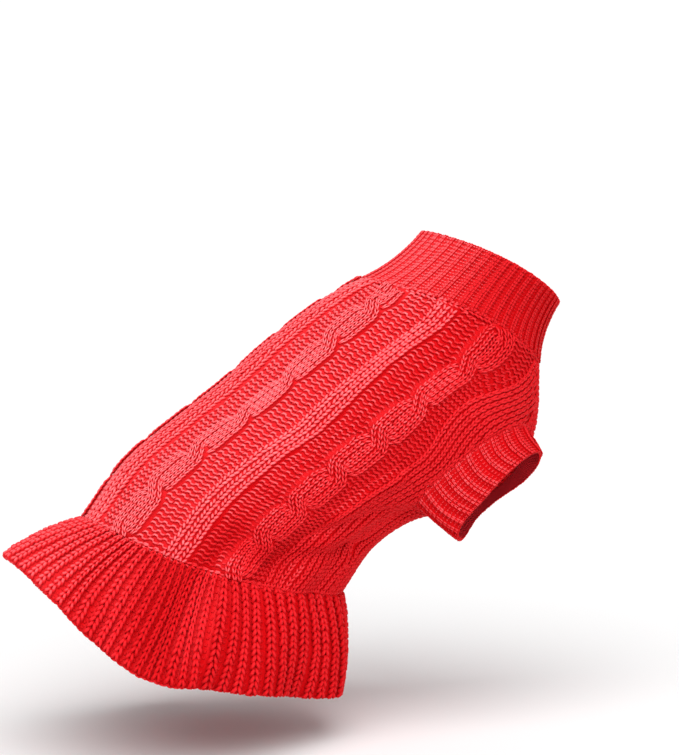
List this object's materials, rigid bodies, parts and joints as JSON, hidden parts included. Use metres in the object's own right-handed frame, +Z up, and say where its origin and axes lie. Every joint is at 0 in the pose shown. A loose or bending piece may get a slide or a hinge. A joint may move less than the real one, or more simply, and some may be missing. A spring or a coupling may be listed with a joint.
{
  "type": "dog sweater",
  "caption": "Cable-knit dog sweater held in its worn shape: fitted tube for the body with a flared ribbed skirt, a ribbed stand collar and short ribbed front sleeves.",
  "frame": {"origin": "on the inner face of the back at the neck seam, in the mirror plane, where the wearer's withers carry the sweater", "axes": "+X the way the wearer faces, +Y to the wearer's left, +Z up as worn by a sitting dog"},
  "size_m": [0.3921, 0.1852, 0.2946],
  "materials": {
    "red_knit": "matt knitted wool-acrylic yarn"
  },
  "bodies": {
    "root": {"back_panel": "red_knit", "belly_panel": "red_knit", "skirt": "red_knit", "collar": "red_knit", "sleeve_right": "red_knit", "sleeve_left": "red_knit"}
  },
  "joints": []
}
